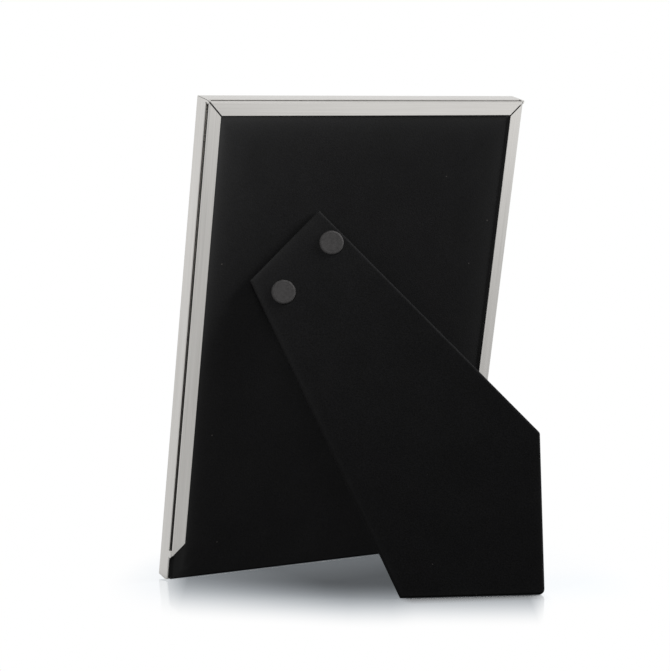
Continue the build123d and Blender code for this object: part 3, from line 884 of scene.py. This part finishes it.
# %% What reflections see of the board
far_way, under_rails = (-0.785, 0.62, 0), 41 * mm
mirrored = add(tree, "ShaderNodeMath", {0: glossy, 1: through}, operation="MAXIMUM")
from_rail = add(tree, "ShaderNodeMath", {0: sides.outputs["Y"], 1: under_rails}, operation="ADD")
off_rail = add(tree, "ShaderNodeMath", {0: from_rail.outputs[0]}, operation="ABSOLUTE")
behind = add(tree, "ShaderNodeMapRange", {"Value": off_rail.outputs[0], "From Min": 4 * mm, "From Max": 24 * mm})
off_middle = add(tree, "ShaderNodeMath", {0: sides.outputs["X"]}, operation="ABSOLUTE")
beside = add(tree, "ShaderNodeMapRange", {"Value": off_middle.outputs[0], "From Min": 64 * mm, "From Max": 70 * mm})
clear = add(tree, "ShaderNodeMath", {0: behind.outputs[0], 1: beside.outputs[0]}, operation="MAXIMUM")
clear_mirrored = add(tree, "ShaderNodeMath", {0: mirrored.outputs[0], 1: clear.outputs[0]}, operation="MULTIPLY")
plain = add(tree, "ShaderNodeMath", {0: seen, 1: shade_share.outputs[0]}, operation="SUBTRACT")
white_share = add(tree, "ShaderNodeMath", {0: plain.outputs[0], 1: clear_mirrored.outputs[0]}, operation="MAXIMUM")
far_off = add(tree, "ShaderNodeVectorMath", {0: spot, 1: far_way}, operation="DOT_PRODUCT").outputs["Value"]
rear_glow = add(
    tree,
    "ShaderNodeMapRange",
    {"Value": far_off, "From Min": 342 * mm, "From Max": 500 * mm, "To Min": 0.73, "To Max": 1.21},
)
front_glow = add(
    tree,
    "ShaderNodeMapRange",
    {"Value": distance, "From Min": 1100 * mm, "From Max": 1600 * mm, "To Min": 0.89, "To Max": 1.08},
)
front = add(tree, "ShaderNodeMapRange", {"Value": sides.outputs["Y"], "From Min": -20 * mm, "From Max": -60 * mm})
glow = add(
    tree,
    "ShaderNodeMix",
    {"Factor": front.outputs[0], "A": rear_glow.outputs[0], "B": front_glow.outputs[0]},
    data_type="FLOAT",
)
strength = add(tree, "ShaderNodeMix", {"Factor": seen, "A": glow.outputs["Result"], "B": 1.0}, data_type="FLOAT")
print("with its reflections the board takes", len(tree.nodes), "nodes")

# %% [markdown]
# Three finishes make the board: matt where it keeps its shade, white where it is plain, and a mirror on top. The white
# turns a little cool in the soft shade. To light that bounces between matt faces the board is nearly black, which keeps
# the black velvet black.

# %% Polished white board
cool_white = (0.79, 1.0, 1.2, 1.0)
board_tone = add(
    tree,
    "ShaderNodeMix",
    {"Factor": path.outputs["Is Diffuse Ray"], "A": hex_colour("#979899"), "B": hex_colour("#3F3F3F")},
    data_type="RGBA",
)
matt = add(tree, "ShaderNodeBsdfDiffuse", {"Color": board_tone.outputs["Result"]})
seen_shade = add(tree, "ShaderNodeMath", {0: soft_shade.outputs[0], 1: seen}, operation="MULTIPLY")
cool = add(
    tree, "ShaderNodeMix", {"Factor": seen_shade.outputs[0], "A": plain_white, "B": cool_white}, data_type="RGBA"
)
white = add(tree, "ShaderNodeEmission", {"Color": cool.outputs["Result"], "Strength": strength.outputs["Result"]})
mirror = add(tree, "ShaderNodeBsdfAnisotropic", {"Color": plain_white, "Roughness": 0.08})
board = add(tree, "ShaderNodeMixShader", {0: white_share.outputs[0], 1: matt.outputs[0], 2: white.outputs[0]})
polished = add(tree, "ShaderNodeMixShader", {0: mirror_share.outputs[0], 1: board.outputs[0], 2: mirror.outputs[0]})
add(tree, "ShaderNodeOutputMaterial", {"Surface": polished.outputs[0]})
print(white_board.name, "is on the floor, with", len(tree.nodes), "nodes")

# %% [markdown]
# A soft box stands beside the frame, almost in line with its back, so its light grazes the velvet and falls off down
# the panel and the leg. A small, weak one beside the other shoulder lifts the top corner, and a large one farther off
# lights the picture side. Metal shows the white surround and not the lamps, as in a light tent.

# %% Lights
aim = Vector((0.0, 0.0, 0.1))


def soft_box(name, at, size, watts):
    """A square white area light that faces the frame's middle and stays out of reflections."""
    data = bpy.data.lights.new(name, "AREA")
    data.size, data.energy = size, watts
    lamp = bpy.data.objects.new(name, data)
    lamp.location = at
    lamp.rotation_euler = (aim - Vector(at)).to_track_quat("-Z", "Y").to_euler()
    lamp.visible_glossy = False
    bpy.context.scene.collection.objects.link(lamp)
    print(name, "gives", watts, "W from", round((aim - Vector(at)).length, 2), "m away")


soft_box("side box", at=(-0.37, 0.13, 0.374), size=0.25, watts=6.9)
soft_box("top box", at=(0.12, 0.078, 0.2), size=0.08, watts=0.25)
soft_box("front box", at=(-0.4, -0.8, 0.6), size=0.6, watts=9.0)
